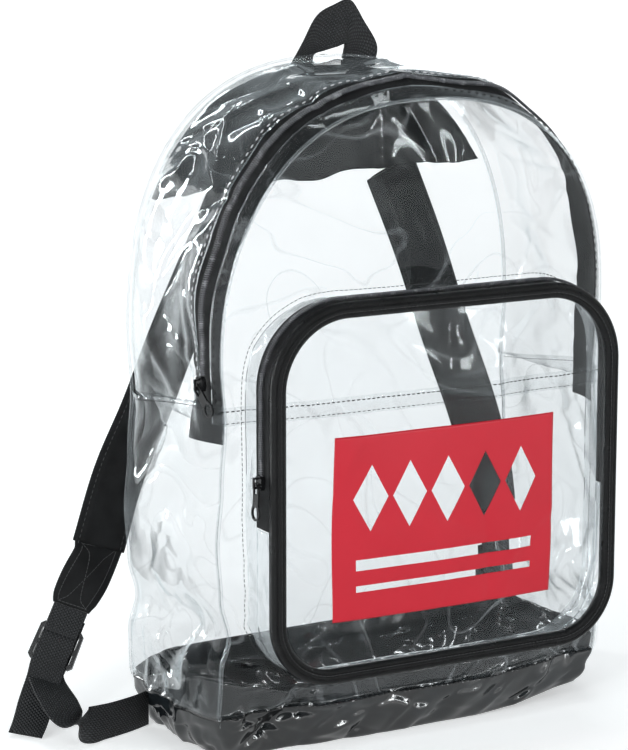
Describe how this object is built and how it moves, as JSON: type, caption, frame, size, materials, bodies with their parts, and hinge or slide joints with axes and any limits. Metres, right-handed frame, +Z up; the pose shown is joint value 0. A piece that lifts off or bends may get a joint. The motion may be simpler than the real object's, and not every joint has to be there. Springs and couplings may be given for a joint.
{
  "type": "clear vinyl backpack",
  "caption": "Clear see-through backpack with an arched zipped body on a black base, a zipped front pocket with a bound rim, a top grab handle and adjustable shoulder straps.",
  "frame": {"origin": "middle of the base where it stands on the floor", "axes": "+Z up to the handle, -Y out of the front pocket, +X to the right of one who looks at the front"},
  "size_m": [0.4375, 0.2281, 0.4933],
  "materials": {
    "clear_vinyl": "clear glossy PVC sheet",
    "black_vinyl": "black glossy coated cloth",
    "black_nylon": "black woven nylon",
    "black_webbing": "black ribbed webbing",
    "black_moulding": "black gloss enamel or moulding",
    "coil_nylon": "black nylon coil",
    "red_print": "red ink on clear vinyl"
  },
  "bodies": {
    "bag": {"front_panel_upper": "clear_vinyl", "front_panel_lower": "clear_vinyl", "back_panel": "clear_vinyl", "gusset_front_strip": "clear_vinyl", "gusset_rear_strip": "clear_vinyl", "side_panel_left": "clear_vinyl", "side_panel_right": "clear_vinyl", "pocket_seam_strip": "clear_vinyl", "pocket_lower_gusset": "clear_vinyl", "pocket_front": "clear_vinyl", "main_zip_tape": "black_nylon", "pocket_zip_tape": "black_nylon", "pocket_binding": "black_nylon", "yoke": "black_nylon", "grab_handle": "black_webbing", "shoulder_strap_left": "black_nylon", "strap_tab_left": "black_nylon", "shoulder_strap_right": "black_nylon", "strap_tab_right": "black_nylon", "stub_webbing_left": "black_webbing", "adjuster_webbing_left": "black_webbing", "stub_webbing_right": "black_webbing", "adjuster_webbing_right": "black_webbing", "main_zip_slider": "black_moulding", "pocket_zip_slider": "black_moulding", "ladder_lock_left": "black_moulding", "ladder_lock_right": "black_moulding", "main_zip_coil": "coil_nylon", "pocket_zip_coil": "coil_nylon", "base_tray": "black_vinyl", "pocket_print": "red_print"},
    "main_pull": {"main_zip_pull": "black_moulding"},
    "pocket_pull": {"pocket_zip_pull": "black_moulding"}
  },
  "joints": [
    {"name": "main_pull_swing", "type": "hinge", "parent": "bag", "child": "main_pull", "pos_m": [-0.15596, -0.04053, 0.25393], "axis": [-0.0832, 0.6937, -0.7155], "range_deg": [0, 35]},
    {"name": "pocket_pull_swing", "type": "hinge", "parent": "bag", "child": "pocket_pull", "pos_m": [-0.1366, -0.08785, 0.19595], "axis": [0, 1, 0], "range_deg": [0, 95]}
  ]
}
